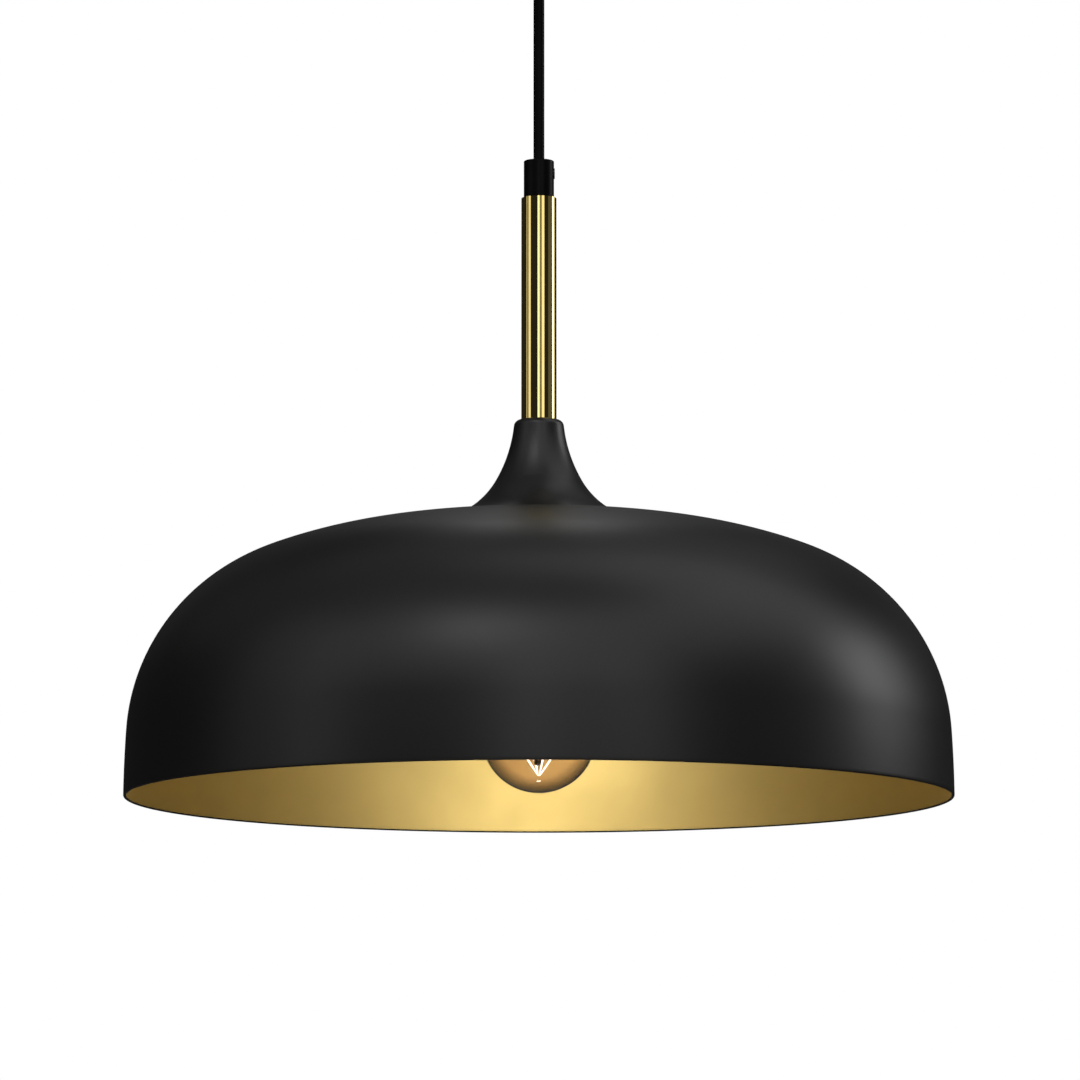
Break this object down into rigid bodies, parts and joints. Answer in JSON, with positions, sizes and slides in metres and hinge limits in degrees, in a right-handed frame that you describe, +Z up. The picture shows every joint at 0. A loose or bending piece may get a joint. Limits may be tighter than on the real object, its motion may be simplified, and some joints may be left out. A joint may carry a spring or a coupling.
{
  "type": "pendant ceiling light",
  "caption": "Dome pendant light: wide black shade with a gold inside, flared neck, brass stem and amber screw-in bulb, hung by a cord from a round ceiling canopy.",
  "frame": {"origin": "on the ceiling plane, on the light's axis, midway between the bracket's two slots", "axes": "+Z up along the cord and stem, +X along the bracket and towards the grip screws, -Y towards the viewer of the picture"},
  "size_m": [0.42, 0.42, 0.468],
  "materials": {
    "black_coat": "matt black powder coat; the shade's inside is satin gold lacquer",
    "black_steel": "matt black",
    "polished_brass": "polished",
    "brass_part": "bare",
    "black_plastic": "satin black",
    "cord_sheath": "smooth black sheath",
    "zinc_steel": "zinc plated",
    "block_plastic": "natural white",
    "core_brown": "brown insulation",
    "core_blue": "blue insulation",
    "core_green": "green and yellow insulation",
    "steatite": "unglazed",
    "amber_glass": "clear amber tint",
    "stem_glass": "clear",
    "nickel": "nickel plated",
    "vitrite": "black glass",
    "filament": "glowing warm white",
    "board": "white board"
  },
  "bodies": {
    "ceiling": {"ceiling_bracket": "zinc_steel", "canopy": "black_steel", "canopy_screws": "black_steel", "canopy_cord_grip": "black_plastic", "canopy_nipple": "zinc_steel", "canopy_lock_washer": "zinc_steel", "canopy_lock_nut": "zinc_steel", "terminal_block": "block_plastic", "terminal_tubes": "brass_part", "terminal_screws": "zinc_steel", "terminal_fixing_screw": "zinc_steel", "earth_screw": "brass_part", "earth_lug": "zinc_steel", "canopy_cord_tail": "cord_sheath", "live_core_upper": "core_brown", "neutral_core_upper": "core_blue", "earth_core_upper": "core_green"},
    "upper_pad": {"canopy_grip_pad": "black_plastic"},
    "upper_screw": {"canopy_grip_screw": "black_plastic"},
    "cord": {"hanging_cord": "cord_sheath"},
    "pendant": {"cord_grip": "black_plastic", "stem_tube": "polished_brass", "stem_top_bush": "brass_part", "threaded_rod": "zinc_steel", "stem_cord": "cord_sheath", "live_core_lower": "core_brown", "neutral_core_lower": "core_blue", "earth_core_lower": "core_green", "neck": "black_coat", "shade": "black_coat", "shade_washer": "zinc_steel", "shade_nut": "zinc_steel", "lampholder_cap": "black_steel", "lampholder_skirt": "black_plastic", "lampholder_insert": "steatite", "lampholder_shell": "nickel", "lampholder_contact": "brass_part", "lampholder_earth_block": "brass_part", "lampholder_earth_screw": "zinc_steel", "lampholder_lock_screw": "zinc_steel"},
    "lower_pad": {"cord_grip_pad": "black_plastic"},
    "lower_screw": {"cord_grip_screw": "black_plastic"},
    "bulb_slider": {"bulb_contact": "brass_part"},
    "bulb": {"bulb_glass": "amber_glass", "bulb_cap": "nickel", "bulb_insulator": "vitrite", "bulb_stem": "stem_glass", "bulb_filaments": "filament", "bulb_wires": "nickel", "bulb_driver": "board"}
  },
  "joints": [
    {"name": "swing_side", "type": "hinge", "parent": "ceiling", "child": "cord", "pos_m": [0, 0, -0.0435], "axis": [0, 1, 0], "range_deg": [-25, 25], "deforming": ["hanging_cord"]},
    {"name": "swing_front", "type": "hinge", "parent": "cord", "child": "pendant", "pos_m": [0, 0, -0.0435], "axis": [1, 0, 0], "range_deg": [-25, 25], "deforming": ["hanging_cord"]},
    {"name": "bulb_travel", "type": "slide", "parent": "pendant", "child": "bulb_slider", "axis": [0, 0, -1], "range_m": [0, 0.0182]},
    {"name": "bulb_turn", "type": "hinge", "parent": "bulb_slider", "child": "bulb", "pos_m": [0, 0, -0.36], "axis": [0, 0, -1], "range_deg": [0, 1800]},
    {"name": "lower_pad_travel", "type": "slide", "parent": "pendant", "child": "lower_pad", "axis": [1, 0, 0], "range_m": [0, 0.00099]},
    {"name": "lower_screw_turn", "type": "hinge", "parent": "lower_pad", "child": "lower_screw", "pos_m": [0, 0, -0.146], "axis": [1, 0, 0], "range_deg": [0, 510]},
    {"name": "upper_pad_travel", "type": "slide", "parent": "ceiling", "child": "upper_pad", "axis": [1, 0, 0], "range_m": [0, 0.00099]},
    {"name": "upper_screw_turn", "type": "hinge", "parent": "upper_pad", "child": "upper_screw", "pos_m": [0, 0, -0.041], "axis": [1, 0, 0], "range_deg": [0, 510]}
  ],
  "couplings": [
    {"joint": "bulb_travel", "follows": "bulb_turn", "m_per_rad": 0.00057757},
    {"joint": "lower_screw_turn", "follows": "lower_pad_travel", "rad_per_m": 8976},
    {"joint": "upper_screw_turn", "follows": "upper_pad_travel", "rad_per_m": 8976}
  ]
}
